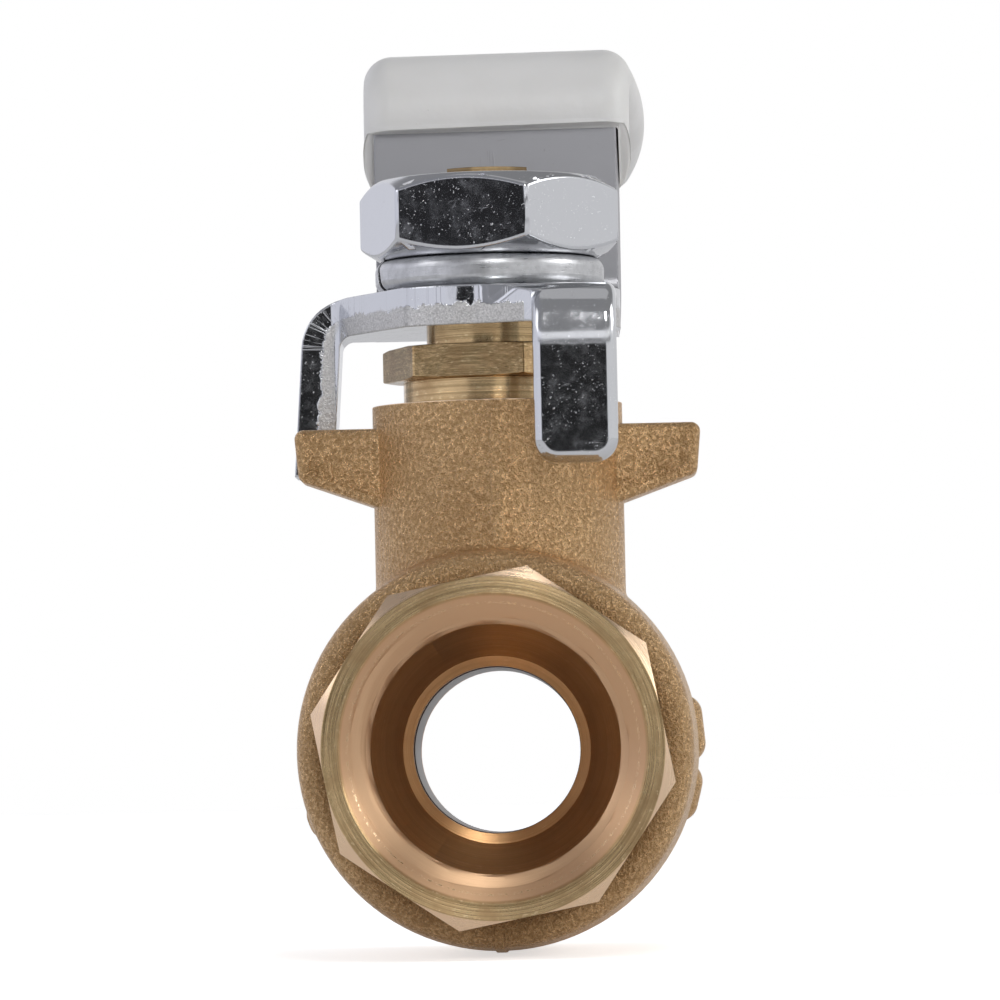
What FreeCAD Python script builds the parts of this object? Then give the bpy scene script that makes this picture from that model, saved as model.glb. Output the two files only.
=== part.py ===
import FreeCAD, Part
import math
import os

from FreeCAD import Vector

# Lever ball valve, DN15, with G 1/2 internal threads at both ends.
#
# Units are millimetres. The origin is the centre of the inlet port's face. +Y runs along the pipe axis
# from inlet to outlet, +Z runs up along the stem's axis, and +X completes the right-handed frame. The
# valve is modelled open, with the lever lying along the pipe towards the outlet.

# ---------------------------------------------------------------- driving dimensions

LENGTH = 56.0                 # face to face
STEM_Y = LENGTH / 2           # the stem's axis crosses the pipe axis half way
MID_PLANE = STEM_Y

THREAD_MINOR_R = 9.32         # G 1/2 internal thread, crest radius
PORT_MOUTH_R = 11.33          # countersink at the port's face
PORT_DEPTH = 13.0             # full thread
PORT_CONE_END = 16.8          # where the cone behind the thread ends
PORT_CONE_R = 7.05
WATERWAY_R = 6.3
WATERWAY_START = 17.2

OCTAGON_AF = 25.0             # across flats of both ends
OCTAGON_LENGTH = 10.0
END_PIECE_TURN = 33.4         # degrees, how far the screwed-in end has been tightened round
BODY_OCTAGON_TURN = 22.5
OCTAGON_CHAMFER_R = 12.5

BARREL_R = 15.3               # at the stem's plane
BARREL_END_R = 14.8
BARREL_EDGE = 1.9            # rounding of the barrel's ends
BODY_THREAD_R = 11.4          # joint between the body and the end piece
CHAMBER_R = 10.7

BALL_R = 10.0
BALL_BORE_R = 6.25
SLOT_WIDTH = 5.0
SLOT_FLOOR = 7.6

SEAT_OUTER_R = 9.2
SEAT_INNER_R = 6.6
SEAT_BACK = 18.6              # distance of the front seat's back face from the inlet face
SEAT_FACE = 22.0
NOSE_END = 20.8               # inner end of the end piece

NECK_R = 9.6
NECK_TOP = 26.5
NECK_ROOT_FILLET = 1.0
FORGING_SHIFT = 0.36          # the forged neck and ears sit this far right of the bores
FLASH_PROUD = 0.12            # trimmed parting line of the forging
FLASH_HALF_WIDTH = 0.35

PADS = ((5.4, 2.6, 0.42), (-14.0, 2.3, 0.40), (200.2, 1.75, 0.20))   # (degrees from +X, half height, proud)
PAD_HALF_LENGTH = 6.0
PAD_ROUND = 1.5
PAD_ROOT_R = 11.5

EAR_REACH = 15.6              # stop ears, measured from the neck's centre
EAR_TOP = 24.8
EAR_OUTER_BOTTOM = 20.9
EAR_INNER_BOTTOM = 18.6
EAR_HALF_THICKNESS = 3.2
EAR_ROUND = 0.7

STEM_R = 4.95
STEM_FIT = 0.06               # radial running clearance round the stem
STEM_FLATS = 6.1              # across the two flats that drive the lever
STEM_TOP = 44.6
FOOT_R = 6.2
FOOT_BOTTOM = 10.3
FOOT_TOP = 11.8
FOOT_POCKET_R = 6.4
THRUST_TOP = 12.6
FLOOR_TOP = 15.6              # bottom of the stuffing box
STUFFING_R = 6.6
PACKING_HEIGHT = 2.3
GLAND_WASHER_HEIGHT = 0.8
GLAND_THREAD_R = 7.0
GLAND_SHANK_R = 6.8
GLAND_HEX_AF = 15.0
GLAND_HEX_BOTTOM = 28.4
GLAND_HEX_TOP = 30.95
GLAND_HEX_TURN = 47.3
GLAND_CORNER_ROUND = 0.25
GLAND_CHAMFER_R = 7.9
GLAND_CHAMFER_DROP = 0.12

PLATE = 3.0                   # lever sheet
PLATE_BOTTOM = 32.2
HUB_R = 10.0
HUB_FLAT = 9.2                # the hub is cut straight at its front left, this far from the stem's axis
HUB_FLAT_TURN = 206.8         # degrees, where that cut faces
HUB_FILLET_R = 1.2            # between that cut and the side leg
ARM_HALF_WIDTH = 9.5
ARM_SHIFT = 0.15              # the arm's centre line passes this far right of the stem's axis
LEG_BEND_R = 0.9              # inside radius of the leg bends
ARM_BEND_R = 2.0              # inside radius of the arm bends
RISER_FACE = 11.0             # riser's front face, from the stem's axis
GRIP_TOP = 54.6               # top of the bare sheet in the grip
LEVER_REACH = 97.0            # tip of the bare sheet, from the stem's axis
GRIP_SET_OVER = -1.3          # degrees, the grip points a little to the right of the pipe axis
FRONT_LEG_ROLL = 0.8          # rounding of the front leg's outer edges
FRONT_LEG_CORNER_R = 1.8      # at its foot
FRONT_LEG_EASE = 12.0         # degrees left after its sharp bend, taken up by a gentle one
FRONT_LEG_EASE_R = 8.0
FRONT_LEG_EASE_Z = 30.8
WEB_START_X = -1.0            # the web leaves the hub's rim here
WEB_FRONT_Y = 16.4            # and meets the front leg here
FRONT_LEG_FACE = 13.5
FRONT_LEG_LEFT = 3.3
FRONT_LEG_RIGHT = 9.65
LEG_BOTTOM = 21.4
SIDE_LEG_FACE = 14.6
SIDE_LEG_FRONT = 3.3
SIDE_LEG_BACK = RISER_FACE - ARM_BEND_R
SIDE_LEG_SPLAY = 4.0          # degrees short of square
LEG_FLARE = 0.8               # how far the hub's fillet widens the side leg at its bend
LEG_FLARE_END = 25.3          # height where that has run out

SLEEVE_WALL = 1.0
SLEEVE_MOUTH = 48.9           # on the riser's front; the mouth drops towards the riser's back
SLEEVE_MOUTH_SLOPE = 1.15

SPRING_WASHER_R = 8.8
SPRING_WASHER_HEIGHT = 2.5
SPRING_WASHER_CUT = 197.0     # degrees, where the ring is cut through
NUT_CORNER_ROUND = 0.45
NUT_CHAMFER_R = 8.4
NUT_CHAMFER_DROP = 1.2
NUT_AF = 17.8
NUT_HEIGHT = 6.2
NUT_TURN = 47.6

# ---------------------------------------------------------------- places worked out from them

PLATE_TOP = PLATE_BOTTOM + PLATE
NUT_BOTTOM = PLATE_TOP + SPRING_WASHER_HEIGHT
PACKING_TOP = FLOOR_TOP + 2 * PACKING_HEIGHT
GLAND_BOTTOM = PACKING_TOP + GLAND_WASHER_HEIGHT
STEM_AXIS = Vector(0, STEM_Y, 0)
FAR = 200.0                   # longer than anything in the valve

ALONG_X = Vector(1, 0, 0)
ALONG_Y = Vector(0, 1, 0)
ALONG_Z = Vector(0, 0, 1)


# ---------------------------------------------------------------- helpers

def polygon_face(points):
    """A flat face with straight edges through the points."""
    return Part.Face(Part.makePolygon(points + points[:1]))


def turned_on_pipe(profile):
    """A solid turned about the pipe axis from (radius, y) points."""
    face = polygon_face([Vector(radius, y, 0) for radius, y in profile])
    return face.revolve(Vector(0, 0, 0), ALONG_Y, 360)


def turned_on_stem(profile):
    """A solid turned about the stem's axis from (radius, z) points."""
    face = polygon_face([Vector(radius, STEM_Y, z) for radius, z in profile])
    return face.revolve(STEM_AXIS, ALONG_Z, 360)


def stem_cylinder(radius, low, high):
    return Part.makeCylinder(radius, high - low, Vector(0, STEM_Y, low), ALONG_Z)


def stem_ring(outer, inner, low, high):
    return stem_cylinder(outer, low, high).cut(stem_cylinder(inner, low - 1, high + 1))


def pipe_cylinder(radius, low, high):
    return Part.makeCylinder(radius, high - low, Vector(0, low, 0), ALONG_Y)


def box(low, high):
    """A block from its lowest to its highest corner."""
    size = [b - a for a, b in zip(low, high)]
    return Part.makeBox(size[0], size[1], size[2], Vector(*low))


def regular_prism(sides, across_flats, turn, centre, axis, height):
    """A prism with regular sides. turn is one corner's angle in degrees about the axis."""
    corner_r = across_flats / 2 / math.cos(math.pi / sides)
    points = []
    for k in range(sides):
        angle = math.radians(turn) + 2 * math.pi * k / sides
        across, up = corner_r * math.cos(angle), corner_r * math.sin(angle)
        offset = Vector(across, 0, up) if axis == ALONG_Y else Vector(across, up, 0)
        points.append(centre + offset)
    return polygon_face(points).extrude(axis * height)


def is_upright(edge):
    """True for a straight edge along the stem."""
    ends = edge.BoundBox
    return ends.XLength < 0.01 and ends.YLength < 0.01


def double_chamfered_hex(across_flats, turn, low, high, chamfer_r, drop, corner_round):
    """A hexagon nut blank on the stem's axis with rounded corners and both faces chamfered there."""
    blank = regular_prism(6, across_flats, turn, Vector(0, STEM_Y, low), ALONG_Z, high - low)
    blank = fillet_where(blank, corner_round, is_upright)
    wide_r = chamfer_r + 3.0
    slope = drop / (across_flats / math.sqrt(3) - chamfer_r)
    fall = slope * (wide_r - chamfer_r)
    envelope = turned_on_stem([(0, low), (chamfer_r, low), (wide_r, low + fall),
                               (wide_r, high - fall), (chamfer_r, high), (0, high)])
    return blank.common(envelope)


def seal_ring(centre_r, section_r, place, axis):
    """A round-section sealing ring."""
    return Part.makeTorus(centre_r, section_r, place, axis)


def rounded(solid, radius):
    """The solid with every edge rounded."""
    return solid.makeFillet(radius, solid.Edges)


def mirror_in_stem_plane(solid):
    return solid.mirror(Vector(0, MID_PLANE, 0), ALONG_Y)


# ---------------------------------------------------------------- brass body and end piece

def port_void():
    """What the inlet port and waterway remove, from the face to the seat."""
    mouth_depth = PORT_MOUTH_R - THREAD_MINOR_R
    return turned_on_pipe([(0, -1), (PORT_MOUTH_R + 1, -1), (PORT_MOUTH_R, 0),
                           (THREAD_MINOR_R, mouth_depth), (THREAD_MINOR_R, PORT_DEPTH),
                           (PORT_CONE_R, PORT_CONE_END), (WATERWAY_R, WATERWAY_START),
                           (WATERWAY_R, SEAT_BACK + 0.1), (0, SEAT_BACK + 0.1)])


def octagon_end(turn):
    """Octagonal wrench end at the inlet, its corners chamfered at the face."""
    prism = regular_prism(8, OCTAGON_AF, turn, Vector(0, 0, 0), ALONG_Y, OCTAGON_LENGTH)
    corner_r = OCTAGON_AF / 2 / math.cos(math.pi / 8) + 0.5
    depth = (corner_r - OCTAGON_CHAMFER_R) * math.tan(math.radians(30))
    envelope = turned_on_pipe([(0, 0), (OCTAGON_CHAMFER_R, 0), (corner_r, depth),
                               (corner_r, OCTAGON_LENGTH), (0, OCTAGON_LENGTH)])
    return prism.common(envelope)


def make_end_piece():
    """Turned end with the inlet port, screwed into the body."""
    groove_low, groove_high, groove_r = 17.0, 18.4, 10.25
    shank = turned_on_pipe([(0, OCTAGON_LENGTH), (BODY_THREAD_R, OCTAGON_LENGTH),
                            (BODY_THREAD_R, groove_low), (groove_r, groove_low),
                            (groove_r, groove_high), (BODY_THREAD_R, groove_high),
                            (BODY_THREAD_R, NOSE_END - 0.4), (BODY_THREAD_R - 0.4, NOSE_END),
                            (0, NOSE_END)])
    pocket = pipe_cylinder(SEAT_OUTER_R, SEAT_BACK, NOSE_END + 1)
    return octagon_end(END_PIECE_TURN).fuse(shank).cut(port_void()).cut(pocket)


def make_body_o_ring():
    return seal_ring(10.82, 0.56, Vector(0, 17.7, 0), ALONG_Y)


def barrel_face(proud=0.0):
    """Half section of the barrel in the plane of the pipe axis, grown outwards by proud."""
    front, back = OCTAGON_LENGTH, LENGTH - OCTAGON_LENGTH
    rim_r = BARREL_END_R - BARREL_EDGE + proud
    crown = Part.Arc(Vector(BARREL_END_R + proud, front + BARREL_EDGE, 0),
                     Vector(BARREL_R + proud, MID_PLANE, 0),
                     Vector(BARREL_END_R + proud, back - BARREL_EDGE, 0))
    slant = BARREL_EDGE * (1 - math.sqrt(0.5))
    rims = [Part.Arc(Vector(rim_r, front, 0),
                     Vector(BARREL_END_R + proud - slant, front + slant, 0),
                     Vector(BARREL_END_R + proud, front + BARREL_EDGE, 0)),
            Part.Arc(Vector(BARREL_END_R + proud, back - BARREL_EDGE, 0),
                     Vector(BARREL_END_R + proud - slant, back - slant, 0),
                     Vector(rim_r, back, 0))]
    sides = [Part.LineSegment(Vector(rim_r, back, 0), Vector(0, back, 0)),
             Part.LineSegment(Vector(0, back, 0), Vector(0, front, 0)),
             Part.LineSegment(Vector(0, front, 0), Vector(rim_r, front, 0))]
    curves = [rims[0], crown, rims[1]] + sides
    return Part.Face(Part.Wire([curve.toShape() for curve in curves]))


def barrel():
    return barrel_face().revolve(Vector(0, 0, 0), ALONG_Y, 360)


def stop_ear(side):
    """One stop ear, on the right for side 1 and on the left for side -1."""
    outline = [(5.0, EAR_TOP), (EAR_REACH, EAR_TOP), (EAR_REACH - 0.35, EAR_OUTER_BOTTOM),
               (8.0, EAR_INNER_BOTTOM - 0.3), (5.0, EAR_INNER_BOTTOM - 1.0)]
    points = [Vector(side * x, STEM_Y - EAR_HALF_THICKNESS, z) for x, z in outline]
    ear = polygon_face(points).extrude(ALONG_Y * (2 * EAR_HALF_THICKNESS))
    return rounded(ear, EAR_ROUND)


def parting_flash():
    """The low ridge that trimming leaves round the forging, in the plane of the pipe and the stem."""
    section = barrel_face(FLASH_PROUD)
    below = section.copy()
    below.rotate(Vector(0, 0, 0), ALONG_Y, 90)
    below.translate(ALONG_X * -FLASH_HALF_WIDTH)
    ring = below.extrude(ALONG_X * (2 * FLASH_HALF_WIDTH))
    reach = NECK_R + FLASH_PROUD
    neck = box((-FLASH_HALF_WIDTH, STEM_Y - reach, 0), (FLASH_HALF_WIDTH, STEM_Y + reach, NECK_TOP))
    neck.translate(ALONG_X * FORGING_SHIFT)
    return [ring, neck]


def raised_pads():
    """Plain raised pads on the barrel's sides, in place of forged markings."""
    pads = []
    for turn, half_height, proud in PADS:
        block = box((PAD_ROOT_R, STEM_Y - PAD_HALF_LENGTH, -half_height),
                    (BARREL_R + proud, STEM_Y + PAD_HALF_LENGTH, half_height))
        pad = rounded(block, PAD_ROUND)
        pad.rotate(Vector(0, 0, 0), ALONG_Y, -turn)
        pads.append(pad)
    return pads


def body_voids():
    """Everything machined out of the forging."""
    back_port = mirror_in_stem_plane(port_void())
    back_seat = LENGTH - SEAT_BACK
    chamber_end = LENGTH - NOSE_END
    return [back_port,
            pipe_cylinder(BODY_THREAD_R, OCTAGON_LENGTH - 1, NOSE_END),
            pipe_cylinder(CHAMBER_R, NOSE_END - 1, chamber_end),
            pipe_cylinder(SEAT_OUTER_R, chamber_end - 1, back_seat),
            stem_cylinder(FOOT_POCKET_R, 0, THRUST_TOP),
            stem_cylinder(STEM_R + STEM_FIT, THRUST_TOP - 1, NECK_TOP),
            stem_cylinder(STUFFING_R, FLOOR_TOP, NECK_TOP + 1),
            stem_cylinder(GLAND_THREAD_R, GLAND_BOTTOM, NECK_TOP + 1)]


def make_body():
    """The forging: barrel, neck, stop ears and the outlet's octagon."""
    neck = stem_cylinder(NECK_R, 5.0, NECK_TOP)
    neck.translate(ALONG_X * FORGING_SHIFT)
    shape = fillet_where(barrel().fuse(neck), NECK_ROOT_FILLET, is_neck_root)
    for side in (1, -1):
        ear = stop_ear(side)
        ear.translate(ALONG_X * FORGING_SHIFT)
        shape = shape.fuse(ear)
    shape = shape.fuse(mirror_in_stem_plane(octagon_end(BODY_OCTAGON_TURN)))
    for piece in parting_flash() + raised_pads():
        shape = shape.fuse(piece)
    for void in body_voids():
        shape = shape.cut(void)
    return shape


def is_neck_root(edge):
    """True for the curve where the neck meets the barrel."""
    ends = edge.BoundBox
    return ends.ZMax < BARREL_R + 1 and ends.ZMin > 5.5 and edge.CenterOfMass.z > 8


def fillet_where(shape, radius, test):
    edges = [edge for edge in shape.Edges if test(edge)]
    return shape.makeFillet(radius, edges)


# ---------------------------------------------------------------- ball, seats and stem

def make_ball():
    """Ball with its bore and the slot that the stem's tongue drives."""
    ball = Part.makeSphere(BALL_R, STEM_AXIS)
    slot = box((-FAR, STEM_Y - SLOT_WIDTH / 2, SLOT_FLOOR), (FAR, STEM_Y + SLOT_WIDTH / 2, FAR))
    return ball.cut(pipe_cylinder(BALL_BORE_R, 0, LENGTH)).cut(slot)


def make_seat_front():
    """Seat ring, hollowed to fit the ball with a running clearance."""
    ring = pipe_cylinder(SEAT_OUTER_R, SEAT_BACK, SEAT_FACE)
    ring = ring.cut(pipe_cylinder(SEAT_INNER_R, SEAT_BACK - 1, SEAT_FACE + 1))
    return ring.cut(Part.makeSphere(BALL_R + 0.03, STEM_AXIS))


def make_seat_rear():
    return mirror_in_stem_plane(make_seat_front())


def make_stem():
    """Blow-out-proof stem: tongue, foot, shaft with a ring groove, and two flats at the top."""
    groove_low, groove_high, groove_r = 13.3, 14.9, 3.85
    tip = 0.8
    shaft = turned_on_stem([(0, FOOT_BOTTOM), (FOOT_R, FOOT_BOTTOM), (FOOT_R, FOOT_TOP),
                            (STEM_R, FOOT_TOP), (STEM_R, groove_low), (groove_r, groove_low),
                            (groove_r, groove_high), (STEM_R, groove_high),
                            (STEM_R, STEM_TOP - tip), (STEM_R - tip, STEM_TOP), (0, STEM_TOP)])
    for side in (1, -1):
        near, far = sorted((side * STEM_FLATS / 2, side * FAR))
        shaft = shaft.cut(box((near, 0, PLATE_BOTTOM), (far, LENGTH, FAR)))
    half_tongue = SLOT_WIDTH / 2 - 0.1
    tongue = box((-FOOT_R, STEM_Y - half_tongue, SLOT_FLOOR + 0.3),
                 (FOOT_R, STEM_Y + half_tongue, FOOT_TOP - 0.5))
    tongue = tongue.common(stem_cylinder(FOOT_R - 0.6, 0, FOOT_TOP))
    return shaft.fuse(tongue)


def make_stem_o_ring():
    return seal_ring(4.38, 0.5, Vector(0, STEM_Y, 14.1), ALONG_Z)


def make_thrust_washer():
    return stem_ring(FOOT_R, STEM_R + STEM_FIT, FOOT_TOP + 0.05, THRUST_TOP)


def make_packing(index):
    """One packing ring, counted from the bottom."""
    low = FLOOR_TOP + index * PACKING_HEIGHT
    return stem_ring(STUFFING_R, STEM_R + STEM_FIT, low, low + PACKING_HEIGHT)


def make_gland_washer():
    return stem_ring(STUFFING_R, STEM_R + STEM_FIT, PACKING_TOP, GLAND_BOTTOM)


def make_gland_nut():
    """Gland nut: hexagon over a relieved shank, threaded into the neck."""
    shank = turned_on_stem([(0, GLAND_BOTTOM), (GLAND_THREAD_R, GLAND_BOTTOM),
                            (GLAND_THREAD_R, NECK_TOP - 0.3), (GLAND_SHANK_R, NECK_TOP - 0.3),
                            (GLAND_SHANK_R, GLAND_HEX_BOTTOM + 0.2), (0, GLAND_HEX_BOTTOM + 0.2)])
    head = double_chamfered_hex(GLAND_HEX_AF, GLAND_HEX_TURN, GLAND_HEX_BOTTOM, GLAND_HEX_TOP,
                                GLAND_CHAMFER_R, GLAND_CHAMFER_DROP, GLAND_CORNER_ROUND)
    bore = stem_cylinder(STEM_R + STEM_FIT, 0, FAR)
    return shank.fuse(head).cut(bore)


# ---------------------------------------------------------------- lever and its fastening

def bent_strip(points, thickness, bend_radii):
    """Side view of a bent sheet as a face.

    points are (along, up) corners of the sheet's centre line, and each inner corner is a bend with its
    own inside radius. The face lies in the plane of the pipe and the stem.
    """
    corners = [Vector(0, along, up) for along, up in points]
    edges = []
    start = corners[0]
    for before, corner, after, bend_r in zip(corners, corners[1:], corners[2:], bend_radii):
        middle_r = bend_r + thickness / 2
        into = (corner - before).normalize()
        out = (after - corner).normalize()
        turn = into.getAngle(out)
        reach = middle_r * math.tan(turn / 2)
        first, last = corner - into * reach, corner + out * reach
        towards_centre = (out - into).normalize()
        centre = corner + towards_centre * (middle_r / math.cos(turn / 2))
        middle = centre - towards_centre * middle_r
        edges.append(Part.makeLine(start, first))
        edges.append(Part.Arc(first, middle, last).toShape())
        start = last
    edges.append(Part.makeLine(start, corners[-1]))
    return ribbon(edges, thickness)


def ribbon(edges, thickness):
    """The face swept by a line of the given thickness held square to the edges."""
    half = thickness / 2
    faces = []
    for edge in edges:
        start, end = edge.valueAt(edge.FirstParameter), edge.valueAt(edge.LastParameter)
        if edge.Curve.TypeId == "Part::GeomLine":
            square = (end - start).normalize().cross(ALONG_X) * half
            faces.append(polygon_face([start - square, end - square, end + square, start + square]))
            continue
        centre = edge.Curve.Center
        middle = edge.valueAt((edge.FirstParameter + edge.LastParameter) / 2)
        inner, outer = [], []
        for point in (start, middle, end):
            ray = (point - centre).normalize()
            inner.append(point - ray * half)
            outer.append(point + ray * half)
        wire = Part.Wire([Part.Arc(*inner).toShape(), Part.makeLine(inner[2], outer[2]),
                          Part.Arc(*reversed(outer)).toShape(), Part.makeLine(outer[0], inner[0])])
        faces.append(Part.Face(wire))
    return faces


def extruded_strip(faces, low, high):
    """The bent sheet between two places across its width."""
    solid = None
    for face in faces:
        moved = face.copy()
        moved.translate(ALONG_X * low)
        piece = moved.extrude(ALONG_X * (high - low))
        solid = piece if solid is None else solid.fuse(piece)
    return solid.removeSplitter()


def grip_outline(margin, reach):
    """Plan of the lever's arm and grip, grown by margin, ending in a rounded tip."""
    start = STEM_Y
    waist = ARM_HALF_WIDTH + margin
    belly = ARM_HALF_WIDTH + 0.7 + margin
    tip_r = 8.3 + margin
    tip_y = STEM_Y + reach
    left = [Vector(-waist, start, 0), Vector(-waist, start + RISER_FACE, 0)]
    bulge = Part.Arc(left[1], Vector(-belly, start + 45.0, 0), Vector(-tip_r, tip_y - tip_r * 0.75, 0))
    cap = Part.Arc(Vector(-tip_r, tip_y - tip_r * 0.75, 0), Vector(0, tip_y, 0),
                   Vector(tip_r, tip_y - tip_r * 0.75, 0))
    back = Part.Arc(Vector(tip_r, tip_y - tip_r * 0.75, 0), Vector(belly, start + 45.0, 0),
                    Vector(waist, start + RISER_FACE, 0))
    edges = [Part.makeLine(left[0], left[1]), bulge.toShape(), cap.toShape(), back.toShape(),
             Part.makeLine(Vector(waist, start + RISER_FACE, 0), Vector(waist, start, 0)),
             Part.makeLine(Vector(waist, start, 0), left[0])]
    prism = Part.Face(Part.Wire(edges)).extrude(ALONG_Z * FAR)
    prism.rotate(STEM_AXIS, ALONG_Z, GRIP_SET_OVER)
    prism.translate(ALONG_X * ARM_SHIFT)
    return prism


def arm_line():
    """Corners of the arm's centre line: hub, foot of the riser, head of the riser, tip."""
    plate_z = PLATE_BOTTOM + PLATE / 2
    riser_y = STEM_Y + RISER_FACE + PLATE / 2
    grip_z = GRIP_TOP - PLATE / 2
    return [(STEM_Y - HUB_R - 1, plate_z), (riser_y, plate_z), (riser_y + 1.0, grip_z),
            (STEM_Y + LEVER_REACH + 5, grip_z)]


def polar(radius, angle):
    """A point in plan from the stem's axis, its angle in degrees."""
    turn = math.radians(angle)
    return STEM_AXIS + Vector(radius * math.cos(turn), radius * math.sin(turn), 0)


def hub_prism():
    """Plan of the hub, cut straight at its front left."""
    middle = polar(HUB_FLAT + FAR, HUB_FLAT_TURN)
    beyond = regular_prism(4, 2 * FAR, HUB_FLAT_TURN + 45, middle, ALONG_Z, FAR)
    return stem_cylinder(HUB_R, 0, FAR).cut(beyond)


def side_leg_prism():
    """Plan of the side leg, its front edge running with a fillet into the hub's straight cut."""
    facing = polar(1.0, HUB_FLAT_TURN) - STEM_AXIS
    front, back = STEM_Y + SIDE_LEG_FRONT, STEM_Y + SIDE_LEG_BACK
    corner = Vector((HUB_FLAT - SIDE_LEG_FRONT * facing.y) / facing.x, front, 0)
    towards_leg = Vector(-1, 0, 0)
    towards_hub = Vector(-facing.y, facing.x, 0)
    half_turn = (math.pi - towards_leg.getAngle(towards_hub)) / 2
    reach = HUB_FILLET_R * math.tan(half_turn)
    first, last = corner + towards_leg * reach, corner + towards_hub * reach
    inward = (towards_leg + towards_hub).normalize()
    middle = corner + inward * (HUB_FILLET_R / math.cos(half_turn) - HUB_FILLET_R)
    hub_corner = corner + towards_hub * (corner - polar(HUB_FLAT, HUB_FLAT_TURN)).Length
    edges = [Part.makeLine(Vector(-FAR, back, 0), Vector(-FAR, front, 0)),
             Part.makeLine(Vector(-FAR, front, 0), first),
             Part.Arc(first, middle, last).toShape(),
             Part.makeLine(last, hub_corner),
             Part.makeLine(hub_corner, STEM_AXIS),
             Part.makeLine(STEM_AXIS, Vector(0, back, 0)),
             Part.makeLine(Vector(0, back, 0), Vector(-FAR, back, 0))]
    return Part.Face(Part.Wire(edges)).extrude(ALONG_Z * FAR)


def lever_arm():
    """Hub, riser and grip in one strip, cut to the plan's outline."""
    strip = extruded_strip(bent_strip(arm_line(), PLATE, (ARM_BEND_R, ARM_BEND_R)), -20.0, 20.0)
    return strip.common(hub_prism().fuse(grip_outline(0.0, LEVER_REACH)))


def front_leg_line():
    """Corners of the front leg's centre line: it bends down sharply, then eases to upright."""
    middle_y = STEM_Y - FRONT_LEG_FACE + PLATE / 2
    plate_z = PLATE_BOTTOM + PLATE / 2
    slack = (plate_z - FRONT_LEG_EASE_Z) * math.tan(math.radians(FRONT_LEG_EASE))
    return [(STEM_Y, plate_z), (middle_y + slack, plate_z), (middle_y, FRONT_LEG_EASE_Z),
            (middle_y, LEG_BOTTOM)]


def front_leg():
    """Stop leg at the front right, bent square down, its outer edges rolled over by the shears."""
    faces = bent_strip(front_leg_line(), PLATE, (LEG_BEND_R, FRONT_LEG_EASE_R))
    leg = extruded_strip(faces, FRONT_LEG_LEFT, FRONT_LEG_RIGHT)
    lower = [edge for edge in leg.Edges
             if edge.BoundBox.ZMax < LEG_BOTTOM + 0.01 and edge.BoundBox.XLength < 0.01]
    leg = leg.makeFillet(FRONT_LEG_CORNER_R, lower)
    face_y = STEM_Y - FRONT_LEG_FACE
    return fillet_where(leg, FRONT_LEG_ROLL, lambda edge: edge.BoundBox.YMax < face_y + 0.01)


def front_web():
    """The sheet between the hub's rim and the front leg, following the leg's bend."""
    faces = bent_strip(front_leg_line(), PLATE, (LEG_BEND_R, FRONT_LEG_EASE_R))
    inside_leg = FRONT_LEG_LEFT + FRONT_LEG_ROLL
    corners = [(WEB_START_X, STEM_Y - HUB_R + 0.1), (FRONT_LEG_LEFT, WEB_FRONT_Y),
               (inside_leg, WEB_FRONT_Y), (inside_leg, STEM_Y), (WEB_START_X, STEM_Y)]
    plan = polygon_face([Vector(x, y, PLATE_BOTTOM) for x, y in corners])
    return extruded_strip(faces, WEB_START_X, inside_leg).common(plan.extrude(ALONG_Z * PLATE))


def side_leg():
    """Stop leg at the left, bent down almost square, behind the ear."""
    reach = SIDE_LEG_FACE - PLATE / 2
    plate_z = PLATE_BOTTOM + PLATE / 2
    drop = plate_z - LEG_BOTTOM
    lean = drop * math.tan(math.radians(SIDE_LEG_SPLAY))
    line = [(0.0, plate_z), (reach, plate_z), (reach + lean, LEG_BOTTOM)]
    leg = extruded_strip(bent_strip(line, PLATE, (LEG_BEND_R,)), -HUB_R, SIDE_LEG_BACK)
    leg.rotate(Vector(0, 0, 0), ALONG_Z, 90)
    leg.translate(STEM_AXIS)
    return leg.common(side_leg_prism()).cut(before_side_leg())


def before_side_leg():
    """What is cut away in front of the side leg, so that its flare runs out above the ear."""
    front, bend_end = STEM_Y + SIDE_LEG_FRONT, PLATE_BOTTOM - LEG_BEND_R
    side = polygon_face([Vector(-FAR, 0, 0), Vector(-FAR, front, 0), Vector(-FAR, front, LEG_FLARE_END),
                         Vector(-FAR, front - LEG_FLARE, bend_end), Vector(-FAR, 0, bend_end)])
    return side.extrude(ALONG_X * (2 * FAR))


def make_lever():
    """The bent sheet with its hole for the stem's flats."""
    shape = lever_arm().fuse(front_web()).fuse(front_leg()).fuse(side_leg()).removeSplitter()
    play = 0.05
    half_flats = STEM_FLATS / 2 + play
    hole = stem_cylinder(STEM_R + play, PLATE_BOTTOM - 1, PLATE_TOP + 1)
    hole = hole.common(box((-half_flats, 0, 0), (half_flats, LENGTH, FAR)))
    return shape.cut(hole)


def sleeve_mouth_cut():
    """Everything below the sleeve's mouth, which drops from the riser's front to its back."""
    front_y = STEM_Y + RISER_FACE - SLEEVE_WALL
    back_y = front_y + 4 * PLATE
    drop = SLEEVE_MOUTH_SLOPE * (back_y - front_y)
    side = polygon_face([Vector(-FAR, 0, SLEEVE_MOUTH), Vector(-FAR, front_y, SLEEVE_MOUTH),
                         Vector(-FAR, back_y, SLEEVE_MOUTH - drop), Vector(-FAR, back_y, 0),
                         Vector(-FAR, 0, 0)])
    return side.extrude(ALONG_X * (2 * FAR))


def make_grip_sleeve():
    """Dipped sleeve over the grip and the riser's head, open at the mouth."""
    line = arm_line()
    inside_r = ARM_BEND_R - SLEEVE_WALL
    faces = bent_strip(line, PLATE + 2 * SLEEVE_WALL, (inside_r, inside_r))
    strip = extruded_strip(faces, -20.0, 20.0)
    outside = strip.common(grip_outline(SLEEVE_WALL, LEVER_REACH + SLEEVE_WALL))
    return outside.cut(sleeve_mouth_cut()).cut(make_lever())


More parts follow.
